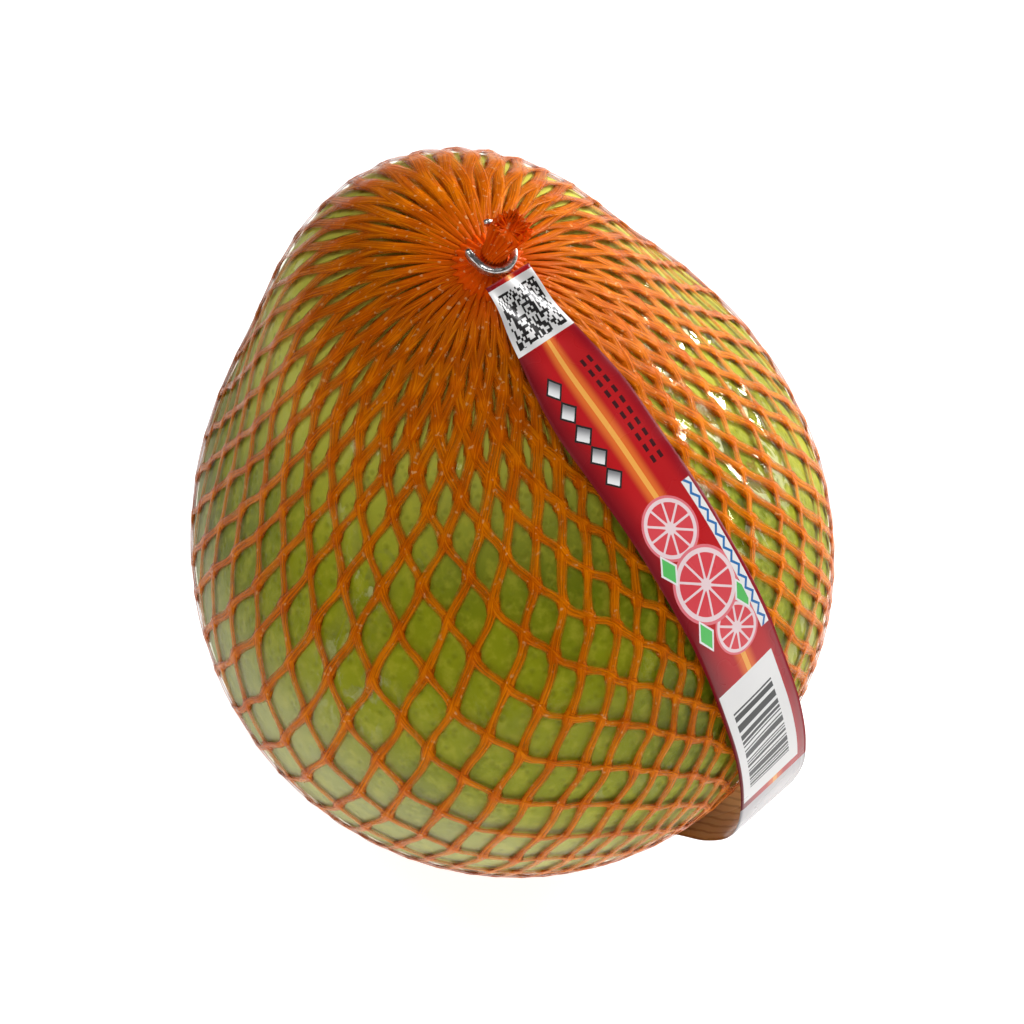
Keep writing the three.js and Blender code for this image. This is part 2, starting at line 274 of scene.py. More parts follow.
class Amount:
    """A number that changes over the surface: a shader node's output with arithmetic on it."""

    def __init__(self, socket):
        self.socket = socket
        self.tree = socket.id_data

    def work(self, operation, *others):
        """One Math node on this number and others."""
        node = put(self.tree, "Math", operation=operation)
        for place, value in zip(node.inputs, (self, *others)):
            if isinstance(value, Amount):
                self.tree.links.new(value.socket, place)
            else:
                place.default_value = value
        return Amount(node.outputs[0])

    def __add__(self, other):
        return self.work("ADD", other)

    def __sub__(self, other):
        return self.work("SUBTRACT", other)

    def __mul__(self, other):
        return self.work("MULTIPLY", other)

    def __truediv__(self, other):
        return self.work("DIVIDE", other)

    def __gt__(self, other):
        return self.work("GREATER_THAN", other)

    def __lt__(self, other):
        return self.work("LESS_THAN", other)

    def between(self, low, high):
        """1 where the number lies between low and high, and 0 elsewhere."""
        return (self > low) * (self < high)

    def rise(self, low, high, start=0.0, end=1.0):
        """A smooth passage from start to end as the number goes from low to high."""
        node = put(
            self.tree, "MapRange", self.socket, low, high, start, end,
            interpolation_type="SMOOTHSTEP",
        )
        return Amount(node.outputs[0])


def over(mask, under, above):
    """One colour laid over another through a mask."""
    node = put(mask.tree, "Mix", data_type="RGBA")
    for index, value in ((0, mask.socket), (6, under), (7, above)):
        if isinstance(value, bpy.types.NodeSocket):
            mask.tree.links.new(value, node.inputs[index])
        else:
            node.inputs[index].default_value = value
    return node.outputs[2]


def here(tree, turn=(0, 0, 0), stretch=(1, 1, 1)):
    """Object coordinates, turned and stretched by a Mapping node, and each as an Amount too."""
    place = put(tree, "Mapping", put(tree, "TexCoord").outputs["Object"])
    filled(place, Rotation=turn, Scale=stretch)
    parts = put(tree, "SeparateXYZ", place.outputs[0])
    return place.outputs[0], [Amount(o) for o in parts.outputs]


def noise(tree, place, scale, detail=2.0, roughness=0.5, distortion=0.0):
    """A Noise texture's value as an Amount."""
    node = put(tree, "TexNoise", place)
    filled(node, Scale=scale, Detail=detail, Roughness=roughness, Distortion=distortion)
    return Amount(node.outputs[0])


def cells(tree, place, scale, randomness=1.0):
    """A Voronoi texture's distance from the nearest cell's middle, as an Amount."""
    node = filled(put(tree, "TexVoronoi", place), Scale=scale, Randomness=randomness)
    return Amount(node.outputs["Distance"])


def bumped(tree, height, distance):
    """A Bump node's normal: height is an Amount, distance its full depth in metres."""
    return filled(put(tree, "Bump"), Distance=distance, Height=height.socket).outputs[0]


def rind_finish():
    """Waxy rind: green clouds, paler at the foot, with painted light that makes the crown paler under
    the net's shadow and the lamp side on the right paler and yellower, a dark pit at each oil gland and
    a few brown flecks."""
    material, tree, out = finish_called("citrus_rind")
    place, (x, y, z) = here(tree)
    clouds = noise(tree, place, CLOUDS_PER_M, 4, 0.55).rise(0.36, 0.66)
    fine = noise(tree, place, MOTTLES_PER_M, 3, 0.6)
    pits = cells(tree, place, PITS_PER_M, 0.9)
    skin = over(clouds, RIND_DEEP, RIND_BRIGHT)
    skin = over(z.rise(0.090, 0.010), skin, RIND_FOOT)
    # Painted light: the side towards the lamps on the right is paler and yellower.
    skin = over((x + y * 0.2).rise(-0.01, 0.07) * 0.6, skin, RIND_LIT_SIDE)
    # Painted light: the crown is paler, making up for the shadow that the net casts on it.
    skin = over(z.rise(0.112, 0.150) * 0.85, skin, RIND_LIT_CROWN)
    skin = over(fine.rise(0.42, 0.70) * 0.35, skin, RIND_MOTTLE)
    skin = over(pits.rise(0.34, 0.12) * 0.35, skin, RIND_PIT)
    flecks = cells(tree, place, FLECKS_PER_M).rise(0.09, 0.05) * noise(tree, place, 60).rise(0.5, 0.6)
    skin = over(flecks * 0.5, skin, RIND_FLECK)
    height = pits.rise(0.05, 0.5) + fine * 0.4
    shader = plastic(
        tree, Base_Color=skin, Roughness=0.5, IOR=1.2, Normal=bumped(tree, height, PIT_DEPTH),
    )
    tree.links.new(shader.outputs[0], out)
    return material


def ball(rows, columns, distance):
    """Points and faces of a whole skin round the fruit: rows of points at a distance over the rind,
    given as a function of the directions, with a fan to each pole."""
    tilt = 180 * np.arange(1, rows)[:, None] / rows
    towards = direction(tilt, 360 * np.arange(columns)[None, :] / columns)
    poles = np.array([[0.0, 0.0, 1.0], [0.0, 0.0, -1.0]])
    points = np.concatenate([over_rind(v, distance(v)) for v in (towards.reshape(-1, 3), poles)])
    top = len(points) - 2
    first, last = np.arange(columns), np.arange(columns) + (rows - 2) * columns
    faces = [grid_faces(rows - 1, columns), fan_faces(top, first), fan_faces(top + 1, last, True)]
    return points, faces


def rind_relief(towards):
    """Low swellings of the rind, up to 0.25 mm: a sum of three slow waves."""
    x, y, z = 8 * towards.T
    waves = np.sin(x + 1.7 * y) + np.sin(1.3 * y - 2.1 * z + 1) + np.sin(1.9 * z + 1.1 * x + 2)
    return RIND_WAVE * waves - 0.02


rind_points, rind_faces = ball(RIND_ROWS, RIND_COLUMNS, rind_relief)
piece("fruit", rind_points, rind_faces, rind_finish(), ["pomelo"])


# ---------------------------------------------------------------------------------------------------
# Film: clear wrapping film pulled round the fruit under the net, smooth where it is tight and
# wrinkled where its folds gather, above all beside the strap and round the foot.
FILM_ROWS, FILM_COLUMNS = 220, 400
FILM_OVER, FOLD_RISE, CREASE_RISE = 0.34, 0.26, 0.34
FOLDS_ROUND = 14
CREASED_RIGHT, CREASED_LEFT = (0.55, -0.72, 0.42), (-0.75, -0.25, 0.62)
FILM_GLOSS, FILM_CLEAR = (0.95, 0.93, 0.66, 1), (0.97, 0.97, 0.90, 1)
FILM_IOR, MOST_GLOSS = 1.5, 0.020
WRINKLE_DEPTH = 0.0005


def film_height(towards):
    """Height of the film over the rind: a thin even layer, long folds that run from gather to gather,
    and crumples in two patches, each a wave bent by another."""
    x, y, z = towards.T
    turn = np.arctan2(y, x)
    folds = np.abs(np.sin(FOLDS_ROUND * turn + 3 * np.sin(3 * z + 2) + 2 * np.sin(5 * turn))) ** 6
    low = np.clip((0.25 - z) / 0.8, 0, 1)
    right = np.exp(-((towards - unit(np.array(CREASED_RIGHT))) ** 2).sum(-1) / 0.16)
    left = np.exp(-((towards - unit(np.array(CREASED_LEFT))) ** 2).sum(-1) / 0.10)
    a, b, c = 11 * x + 3 * np.sin(6 * z), 12 * y + 3 * np.sin(7 * x), 10 * z + 3 * np.sin(6 * y)
    creases = 1 - np.abs(np.sin(a + 2 * np.sin(b)) * np.sin(b + 2 * np.sin(c)))
    creased = CREASE_RISE * creases**3 * np.maximum(right, 0.6 * left)
    return FILM_OVER + FOLD_RISE * folds * (0.25 + 0.75 * low) + creased


def smudges():
    """A node group: roughness that drifts between two values, as on any handled plastic."""
    group = bpy.data.node_groups.new("smudges", "ShaderNodeTree")
    for name, value in (("Scale", 60.0), ("Cleanest", 0.1), ("Dullest", 0.3)):
        socket = group.interface.new_socket(name, in_out="INPUT", socket_type="NodeSocketFloat")
        socket.default_value = value
    group.interface.new_socket("Roughness", in_out="OUTPUT", socket_type="NodeSocketFloat")
    given, given_out = group.nodes.new("NodeGroupInput"), group.nodes.new("NodeGroupOutput")
    cloud = put(group, "TexNoise", put(group, "TexCoord").outputs["Object"])
    scale, cleanest, dullest = given.outputs[:3]
    group.links.new(scale, cloud.inputs["Scale"])
    spread = put(group, "MapRange", cloud.outputs[0], 0.35, 0.65, cleanest, dullest)
    group.links.new(spread.outputs[0], given_out.inputs[0])
    return group


smudge_group = smudges()


def smudged(tree, scale, cleanest, dullest):
    """The smudges group placed in a material with its own values."""
    node = put(tree, "Group", node_tree=smudge_group)
    return filled(node, Scale=scale, Cleanest=cleanest, Dullest=dullest).outputs[0]


def film_finish():
    """Clear film: see-through, with a thin mirror gloss that grows towards grazing view and with fine
    wrinkles. It glints in crumpled patches and beside the strap. Below a tilted plane, which is
    highest at the back left, it lies loose on the rind and looks dull and cloudy."""
    material, tree, out = finish_called("clear_film")
    place, (x, y, z) = here(tree)
    streaks, _ = here(tree, (0.4, 0.2, 0.5), (160, 160, 34))
    crumpled = noise(tree, place, 22, 2).rise(0.53, 0.66) * 0.6
    dx, dy, dz = x - 0.016, y + 0.055, z - 0.136
    beside_strap = (dx * dx + dy * dy + dz * dz).work("SQRT").rise(0.046, 0.016)
    facets = cells(tree, place, 95) * (crumpled + beside_strap * 1.2 + 0.08)
    height = noise(tree, streaks, 1.0, 3, 0.55, 0.6) + facets * 8.0
    normal = bumped(tree, height, WRINKLE_DEPTH)
    loose = x * -0.37 + y * 0.39 - z + 0.077 + noise(tree, place, 30, 2) * 0.016
    dull = Amount(smudged(tree, 45, 0.05, 0.13)) + loose.rise(-0.040, 0.030) * 0.42
    gloss = plastic(
        tree, Base_Color=FILM_GLOSS, Metallic=1.0, Normal=normal, Roughness=dull.socket,
    )
    facing = Amount(put(tree, "Fresnel", FILM_IOR, normal).outputs[0])
    patches = noise(tree, streaks, 1.4, 3, 0.6, 0.8).rise(0.52, 0.57)
    glints = patches * (beside_strap * 0.5 + crumpled * 0.22)
    cloudy = loose.rise(0.004, 0.034) * 0.20
    share = (facing * 0.55).work("MINIMUM", MOST_GLOSS) + glints + cloudy
    clear = put(tree, "BsdfTransparent", FILM_CLEAR)
    mixed = put(tree, "MixShader", share.socket, clear.outputs[0], gloss.outputs[0])
    tree.links.new(mixed.outputs[0], out)
    return material


film_points, film_faces = ball(FILM_ROWS, FILM_COLUMNS, film_height)
piece("clear_film", film_points, film_faces, film_finish(), ["film"])


# ---------------------------------------------------------------------------------------------------
# Net: one tube of extruded orange plastic. Its strands cross in welded knots, and the stretched
# diamonds close up towards each gather, where the tube is drawn together in pleats.
NET_STRANDS = 41
STRAND_CELL, STRAND_STRETCH = 7.4, 2.9
NET_FIRST_ROW = 2.0
NET_OVER = 0.78
STRAND_HALF_WIDTH, STRAND_HALF_HEIGHT, STRAND_LEAST = 1.04, 0.30, 0.10
KNOT_SWELL = 0.36
STRAND_SIDES = 6
CELL_PLACES = (0, 0.08, 0.2, 0.4, 0.6, 0.8, 0.92)
# Angles from the top where the strands start to bunch and where they are fully bunched.
CROWD_FROM, CROWD_FULL = 46, 14
NET_TOP_LEAN, NET_BOTTOM_LEAN = (-6.3, -16.1), (0, -24.4)
STRAP_SIDE, ROW_LIFT, SIDE_DROP, COLUMN_PULL = -98, 27, 24, 18
# Slow waves of the columns and of the rows: degrees, waves round, change down and by row, and start.
NET_SWAY = ((0.8, 3, 2.2, 0, 0), (0.6, 7, -5, 0, 0), (0.30, 17, 0, 1.3, 0), (0.25, 29, 0, -1.9, 0))
NET_SAG = ((0.7, 4, -3.1, 0, 1), (0.4, 9, 6, 0, 0), (0.20, 19, 0, 1.7, 0), (0.15, 31, 0, -1.1, 0))
NET_SINGLE, NET_BUNCHED = (0.86, 0.215, 0.0003, 1), (0.78, 0.175, 0.0003, 1)
NET_DRAWN_IN, GATHER_RED = (0.66, 0.085, 0.0003, 1), (0.95, 0.10, 0.001, 1)
NET_SHADE, NET_CLOUD = (0.50, 0.060, 0.0003, 1), (0.60, 0.080, 0.0003, 1)
# Painted light: the lit streak colour and the pale glint colour on this line.
NET_LIT_STREAK, NET_PAINTED_GLINT = (1.0, 0.34, 0.005, 1), (1.0, 0.60, 0.26, 1)
NET_SHINE = (1.0, 0.50, 0.12, 1)
NET_COVER, GATHER_COVER = 0.43, 1.0
FIBRE_DEPTH = 0.00030


def net_direction(from_top, turn):
    """Directions in the net's own angles, whose pole passes from the top gather to the bottom one."""
    share = (1 + np.cos(np.radians(from_top))) / 2
    lean = [top * share + low * (1 - share) for top, low in zip(NET_TOP_LEAN, NET_BOTTOM_LEAN)]
    return leaned(direction(from_top, turn), *lean)


def knot_rows():
    """Angle from the top of each row of knots. A strand's length from knot to knot is fixed, apart from
    some stretch near the top, so what the width of a cell leaves of it is the step to the next row."""
    tilt = np.linspace(0, 180, 1801)
    rings = over_rind(net_direction(tilt[:, None], np.arange(0, 360, 30)[None, :]), 0 * tilt[:, None])
    down = np.linalg.norm(np.diff(rings, axis=0), axis=-1).mean(1)
    girth = np.linalg.norm(np.roll(rings, 1, 1) - rings, axis=-1).mean(1) * 12 * 1.01
    half_cell = girth / NET_STRANDS / 2
    cell = STRAND_CELL + STRAND_STRETCH * np.maximum(np.cos(np.radians(tilt)), 0)
    step = np.sqrt(cell**2 - np.minimum(half_cell, 0.8 * cell) ** 2)
    rows = np.concatenate([[0], np.cumsum(down / step[1:])])
    first = np.interp(NET_FIRST_ROW, tilt, rows)
    count = int(np.interp(180 - NET_FIRST_ROW, tilt, rows) - first)
    return np.interp(first + np.arange(count + 1), rows, tilt)


def slow_waves(table, beside, tilt, row):
    """A sum of sines that run round the net and change on the way down."""
    return sum(
        size * np.sin(around * beside + down * tilt + by_row * row + start)
        for size, around, down, by_row, start in table
    )


def net_frame(row, turn):
    """A strand's place as angles. Below the middle the net is drawn towards the strap's side: its rows
    rise there and drop elsewhere, and its columns lean in. Slow waves make it a little uneven."""
    from_top = np.interp(row, np.arange(len(knot_tilts)), knot_tilts)
    tilt, beside = np.radians(from_top), np.radians(turn - STRAP_SIDE)
    wave_1, wave_2, wave_3 = (1 - np.cos(n * beside) for n in (1, 2, 3))
    drop = smooth((from_top - 55) / 55) * (0.433 * wave_1 + 0.367 * wave_2 - 0.133 * wave_3)
    lift = ROW_LIFT * (np.cos(beside) + 0.11 * np.cos(3 * beside)) - SIDE_DROP * drop
    rise = np.sin(tilt) ** 0.8 * lift
    pull = COLUMN_PULL * (1 - np.cos(tilt)) * np.sin(beside)
    wave = np.sin(tilt) ** 2
    sway = slow_waves(NET_SWAY, beside, tilt, row)
    sag = slow_waves(NET_SAG, beside, tilt, row)
    return from_top - rise + wave * sag, turn - pull + wave * sway


def strands(lean):
    """All the strands that lean one way, as closed tubes. Each runs down one row of knots at a time and
    half a cell sideways, straighter in mid cell. It swells at the knots and fills the gap to the next
    strand where they are bunched. Two fields go with the points: crowding (bunched, knot, near a
    gather) and fibres (along, across in millimetres, and -1 to 1 over the width)."""
    rows = len(knot_tilts) - 1
    place = (np.arange(rows)[:, None] + np.array(CELL_PLACES)[None, :]).ravel()
    place = np.append(place, rows)
    part = place % 1
    half_cell = 180 / NET_STRANDS
    drift = place - 0.30 * np.sin(2 * np.pi * part) / (2 * np.pi)
    turn = 2 * half_cell * np.arange(NET_STRANDS)[:, None] + lean * half_cell * drift[None, :]
    from_top, turn = net_frame(np.broadcast_to(place, turn.shape), turn)
    towards = net_direction(from_top, turn)
    middle = over_rind(towards, NET_OVER + 0 * from_top)
    along = unit(np.gradient(middle, axis=1))
    across = unit(np.cross(along, towards))
    out = np.cross(across, along)
    knot = np.cos(np.pi * part) ** 8
    crowd = np.linalg.norm(middle, axis=-1) * np.sin(np.radians(from_top)) * np.radians(half_cell)
    bunched = smooth((CROWD_FROM - from_top) / (CROWD_FROM - CROWD_FULL))
    wander = np.sin(3.7 * place + 5.3 * np.arange(NET_STRANDS)[:, None] + 2 * lean)
    width = STRAND_HALF_WIDTH * (1 + KNOT_SWELL * knot) * (1 + 0.12 * wander)
    width = np.minimum(width, STRAND_LEAST + 0.50 * crowd)
    closed = STRAND_LEAST + crowd * (0.68 + 0.24 * np.cos(np.pi * part) ** 2)
    width = width + bunched * (closed - width)
    height = STRAND_HALF_HEIGHT * (1 + 0.25 * knot)[None, :]
    around = 2 * np.pi * np.arange(STRAND_SIDES) / STRAND_SIDES
    ring_x = (width[..., None] * np.cos(around))[..., None]
    ring_y = (height[..., None] * np.sin(around))[..., None]
    points = middle[:, :, None] + ring_x * across[:, :, None] + ring_y * out[:, :, None]
    tube = grid_faces(len(place), STRAND_SIDES)
    starts = np.arange(NET_STRANDS) * len(place) * STRAND_SIDES
    faces = (tube[None] + starts[:, None, None]).reshape(-1, 4)
    caps = np.arange(STRAND_SIDES)
    first = caps[None] + starts[:, None]
    last = caps[None, ::-1] + starts[:, None] + (len(place) - 1) * STRAND_SIDES
    near = smooth((16 - np.minimum(from_top, 180 - from_top)) / 12)
    threads = place + 13 * np.arange(NET_STRANDS)[:, None]
    crowding = np.stack(np.broadcast_arrays(bunched[..., None], knot[:, None], near[..., None]), -1)
    crowding = np.broadcast_to(crowding, points.shape)
    fibres = np.stack(np.broadcast_arrays(threads[..., None], ring_x[..., 0], np.cos(around)), -1)
    faces = [faces[:, ::-1], first[:, ::-1], last[:, ::-1]]
    return points, faces, [("crowding", crowding), ("fibres", fibres)]


def net_finish(name, single, bunched, drawn_in, solid):
    """Translucent orange plastic with painted shade and painted light in streaks along its fibres,
    painted glints in small pale flecks, and clearer at a strand's edges. The field "crowding" says
    where strands lie together, where the knots are and how near a
    gather is: there the net is redder and more closed."""
    material, tree, out = finish_called(name)
    place, _ = here(tree)
    attribute = put(tree, "Attribute", attribute_name="crowding")
    crowding = put(tree, "SeparateXYZ", attribute.outputs["Vector"])
    crowd, knot, near = (Amount(o) for o in crowding.outputs)
    fibres = put(tree, "Attribute", attribute_name="fibres").outputs["Vector"]
    along_fibres = filled(put(tree, "Mapping", fibres), Scale=(1.1, 3.0, 0))
    streaks = noise(tree, along_fibres.outputs[0], 1.0, 2, 0.6, 0.4)
    clouds = noise(tree, place, 130, 2)
    fine = noise(tree, place, 900, 2)
    edge = Amount(put(tree, "SeparateXYZ", fibres).outputs[2]).work("ABSOLUTE")
    paint = over(near, over(crowd, single, bunched), drawn_in)
    # Painted shade: darker streaks along the fibres.
    paint = over(streaks.rise(0.56, 0.36) * 0.35, paint, NET_SHADE)
    paint = over(clouds.rise(0.58, 0.42) * 0.5, paint, NET_CLOUD)
    # Painted light: brighter streaks along the fibres.
    paint = over(streaks.rise(0.54, 0.70) * 0.4, paint, NET_LIT_STREAK)
    # Painted glints: small pale flecks that stand for sparkles of light on the plastic.
    paint = over(fine.rise(0.64, 0.70) * 0.5, paint, NET_PAINTED_GLINT)
    cover = knot * 0.30 + crowd * 0.14 + near * 0.5 + streaks.rise(0.40, 0.60) * 0.26 + solid
    cover = (cover - edge.rise(0.40, 1.0) * 0.42).work("MINIMUM", 1.0)
    shader = plastic(
        tree, Base_Color=paint, Roughness=smudged(tree, 200, 0.24, 0.46), IOR=1.24,
        Specular_Tint=NET_SHINE, Alpha=cover.socket,
        Normal=bumped(tree, fine * 0.5 + streaks * 0.5, FIBRE_DEPTH),
    )
    tree.links.new(shader.outputs[0], out)
    return material


knot_tilts = knot_rows()
net_material = net_finish("orange_net", NET_SINGLE, NET_BUNCHED, NET_DRAWN_IN, NET_COVER)
for name, lean in (("net_strands_right", 1), ("net_strands_left", -1)):
    points, faces, fields = strands(lean)
    piece(name, points, faces, net_material, ["net"], fields)


# ---------------------------------------------------------------------------------------------------
# Gathers: at each end the tube of net is pulled into tight pleats, passes through its clip, and ends
# in a short ragged tail. They are one piece of plastic with the strands.
# Height and radius of each gather's outline from its foot up, and how the top tail bends.
TOP_GATHER = ((0.9, 7.2), (1.7, 6.0), (2.8, 4.2), (4.2, 2.7), (7.6, 2.4), (9.4, 2.8), (11.8, 3.4))
BOTTOM_GATHER = ((0.9, 7.2), (1.7, 6.0), (2.8, 4.2), (4.2, 2.7), (7.6, 2.4), (10.0, 3.4))
TOP_TAIL_BEND = -1.0
GATHER_PLEATS, PLEAT_POINTS = 26, 8
GATHER_ROWS = 60
TAIL_LENGTH, TAIL_RAGGED, TAIL_HOLLOW = 4, 0.9, 2.5
CLIP_MIDDLE, CLIP_HEIGHT = 5.9, 2.4


def gather_frame(from_top, strap_towards):
    """A gather's foot on the rind and its directions: sideways, towards the strap's end, outwards."""
    towards = net_direction(np.array(float(from_top)), np.array(0.0))
    out = rind_normal(towards)
    strap_towards = np.array(strap_towards)
    ahead = unit(strap_towards - out * (strap_towards @ out))
    return over_rind(towards, np.array(0.0)), np.stack([np.cross(ahead, out), ahead, out])


def capped(rings, ends):
    """A closed tube: faces between its rings of points, and a fan to a middle point at each end."""
    rows, columns = rings.shape[:2]
    flat = rings.reshape(-1, 3)
    first, last = np.arange(columns), np.arange(columns) + (rows - 1) * columns
    faces = [
        grid_faces(rows, columns)[:, ::-1],
        fan_faces(len(flat), first, True),
        fan_faces(len(flat) + 1, last),
    ]
    return np.concatenate([flat, np.stack(ends)]), faces


def gather(frame_at, profile, bend):
    """A pleated funnel: the profile's radius at each height, waved round by its pleats, which twist and
    deepen upwards, and a tail that bends to the side and ends in a ragged edge."""
    foot, axes = frame_at
    heights, radii = np.array(profile).T
    steps = np.linspace(0, 1, GATHER_ROWS)
    spread = np.concatenate([[0], np.cumsum(np.hypot(np.diff(heights), np.diff(radii)))])
    height = np.interp(steps, spread / spread[-1], heights)[:, None]
    radius = np.interp(steps, spread / spread[-1], radii)[:, None]
    around = np.linspace(0, 2 * np.pi, GATHER_PLEATS * PLEAT_POINTS, endpoint=False)[None, :]
    past = np.maximum(0, height - CLIP_MIDDLE - CLIP_HEIGHT / 2)
    tail = np.clip(past / TAIL_LENGTH, 0, 1)
    twist = 0.05 * height + 0.25 * np.sin(3 * around + 1) * past / 3
    depth = 0.10 + 0.12 * tail
    pleats = 1 + depth * np.sin(GATHER_PLEATS * around + 9 * twist) * (0.8 + 0.2 * np.sin(5 * around))
    reach = radius * pleats * (1 + 0.10 * tail * np.sin(4 * around + 2))
    x = reach * np.cos(around + twist) + bend * past
    y = reach * np.sin(around + twist)
    ragged = -TAIL_RAGGED * tail * np.abs(np.sin(7 * around + np.sin(11 * around)))
    z = height - reach**2 / (2 * FRUIT_RADIUS) + ragged
    rings = foot + np.stack([x, y, z + 0 * x], -1) @ axes
    return capped(rings, [rings[0].mean(0), rings[-1].mean(0) - TAIL_HOLLOW * axes[2]])


gather_material = net_finish("gathered_net", GATHER_RED, GATHER_RED, GATHER_RED, GATHER_COVER)
top_frame = gather_frame(0, (0.2, -1.0, -0.4))
bottom_frame = gather_frame(180, (0.0, -1.0, 0.0))
for name, frame_at, profile, bend in (
    ("net_gather_top", top_frame, TOP_GATHER, TOP_TAIL_BEND),
    ("net_gather_bottom", bottom_frame, BOTTOM_GATHER, 0.0),
):
    points, faces = gather(frame_at, profile, bend)
    piece(name, points, faces, gather_material, ["net"])


# ---------------------------------------------------------------------------------------------------
# Clips: flat aluminium wire bent round each gather in a horseshoe, whose two legs lift off the net and
# end in pinched tips. The upper one also holds the strap's end.
CLIP_RADIUS, CLIP_LEFT_LEG, CLIP_RIGHT_LEG, CLIP_WALL = 3.9, 5.2, 4.2, 1.5
CLIP_ARC_STEPS, CLIP_LEG_STEPS, CLIP_ROUND_STEPS = 41, 14, 16
CLIP_LIFT = 2.0
WIRE_BRIGHT, WIRE_DENTED = (0.66, 0.65, 0.64, 1), (0.34, 0.33, 0.31, 1)
DENT_DEPTH = 0.00015


def clip_finish():
    """Drawn wire, a little dull: fine lines along it and small darker dents."""
    material, tree, out = finish_called("bright_wire")
    lines, _ = here(tree, (0.3, 0.5, 0), (300, 300, 2600))
    place, _ = here(tree)
    drawn = noise(tree, lines, 1.0, 3)
    dents = noise(tree, place, 700, 2)
    colour = over(dents.rise(0.42, 0.68), WIRE_BRIGHT, WIRE_DENTED)
    shader = plastic(
        tree, Base_Color=colour, Metallic=1.0, Roughness=smudged(tree, 500, 0.16, 0.34),
        Normal=bumped(tree, drawn * 0.3 + dents, DENT_DEPTH),
    )
    tree.links.new(shader.outputs[0], out)
    return material


def clip(frame_at):
    """A wire carried along a horseshoe: its section is a rounded rectangle, which thins to the tips."""
    foot, axes = frame_at
    arc = np.radians(np.linspace(180, 0, CLIP_ARC_STEPS))
    leg = np.linspace(-1, 0, CLIP_LEG_STEPS, endpoint=False)
    left, right = np.full(CLIP_LEG_STEPS, -CLIP_RADIUS), np.full(CLIP_LEG_STEPS, CLIP_RADIUS)
    x = np.concatenate([left, CLIP_RADIUS * np.cos(arc), right])
    y = np.concatenate([CLIP_LEFT_LEG * leg, CLIP_RADIUS * np.sin(arc), CLIP_RIGHT_LEG * leg[::-1]])
    past = np.clip(-y / CLIP_LEFT_LEG, 0, 2)
    to_tip = np.concatenate([-leg, np.zeros(CLIP_ARC_STEPS), -leg[::-1]])
    pinch = np.clip((1 - to_tip) * 3, 0, 1) ** 0.5
    x = x * (1 - 0.10 * (1 - pinch)) - 0.7 * np.sin(3.4 * past) * (x < 0)
    along = unit(np.stack([np.gradient(x), np.gradient(y)], -1))
    around = np.linspace(0, 2 * np.pi, CLIP_ROUND_STEPS, endpoint=False)
    square = [np.sign(v) * np.abs(v) ** 0.45 for v in (np.cos(around), np.sin(around))]
    wall = CLIP_WALL / 2 * square[0][None, :] * (0.55 + 0.45 * pinch[:, None])
    rise = CLIP_HEIGHT / 2 * square[1][None, :] * (0.45 + 0.55 * pinch[:, None])
    lift = CLIP_MIDDLE + CLIP_LIFT * past[:, None] ** 1.5
    place = [x[:, None] - along[:, 1:] * wall, y[:, None] + along[:, :1] * wall, lift + rise]
    rings = foot + np.stack(place, -1) @ axes
    return capped(rings, [rings[0].mean(0), rings[-1].mean(0)])


clip_material = clip_finish()
for name, frame_at, node in (
    ("wire_clip_top", top_frame, "top_clip"),
    ("wire_clip_bottom", bottom_frame, "bottom_clip"),
):
    points, faces = clip(frame_at)
    piece(name, points, faces, clip_material, [node])


# ---------------------------------------------------------------------------------------------------
# Strap: a band of laminated film, printed outside and brown inside. It is crimped in the top clip, runs
# over the front, stands off the fruit low down, and passes under it to the bottom clip.
STRAP_INSIDE = 2.65
# Points of its middle line: angle from the top, turn, and distance over the rind.
STRAP_ROUTE = (
    (21.6, -109.3, 5.6), (26, -107.4, 4.2), (35, -104.6, 3.0), (54, -100, STRAP_INSIDE),
    (70, -98, STRAP_INSIDE), (85, -96.8, STRAP_INSIDE), (98, -95.4, 2.8), (108, -93.5, 3.5),
    (116, -91.8, 5.0), (123, -90.5, 7.0), (129, -90, 8.2), (135, -90, 6.8), (141, -90, 4.0),
    (149, -90, STRAP_INSIDE), (160, -90, STRAP_INSIDE),
)
STRAP_END_ROUTE = ((166, 90, 3.2), (162.5, 90, 4.0), (160.2, 90, 5.4))
STRAP_WIDTH, STRAP_TOP_WIDTH, STRAP_BOTTOM_WIDTH, STRAP_TAPER = 20, 10.5, 13, 0.13
STRAP_THICKNESS = 0.5
STRAP_FLAT_HALF = 14
STRAP_LEVEL_BELOW = 60
STRAP_ROWS, STRAP_ACROSS = 560, 25
CREASE_MIDDLE, CREASE_LENGTH, CREASE_DEPTH, CURL_DEPTH = 6, 9, 0.42, 0.10
# The print in millimetres: across it from -10 to 10, and along it from the top clip down.
PRINT_HALF = 10
MODULE_PANEL, MODULE_FIELD, MODULE_SIZE = (1.0, 14.8), (2.6, 13.8), 0.62
LOZENGE_ROW, LOZENGE_STEP, LOZENGE_ACROSS = (20.8, 46.8), 5.2, 5.2
DASH_STEP, DASH_ACROSS, DASH_HALF = 2.6, (-4.6, -6.6), 0.45
ZIGZAG_LINE, ZIGZAG_SIDE = (53, 88), 8.0
BAR_PANEL, BAR_FIELD, BAR_STEP = (94, 133), (99, 129), 0.5
FOLD_PANEL = (136, 262)
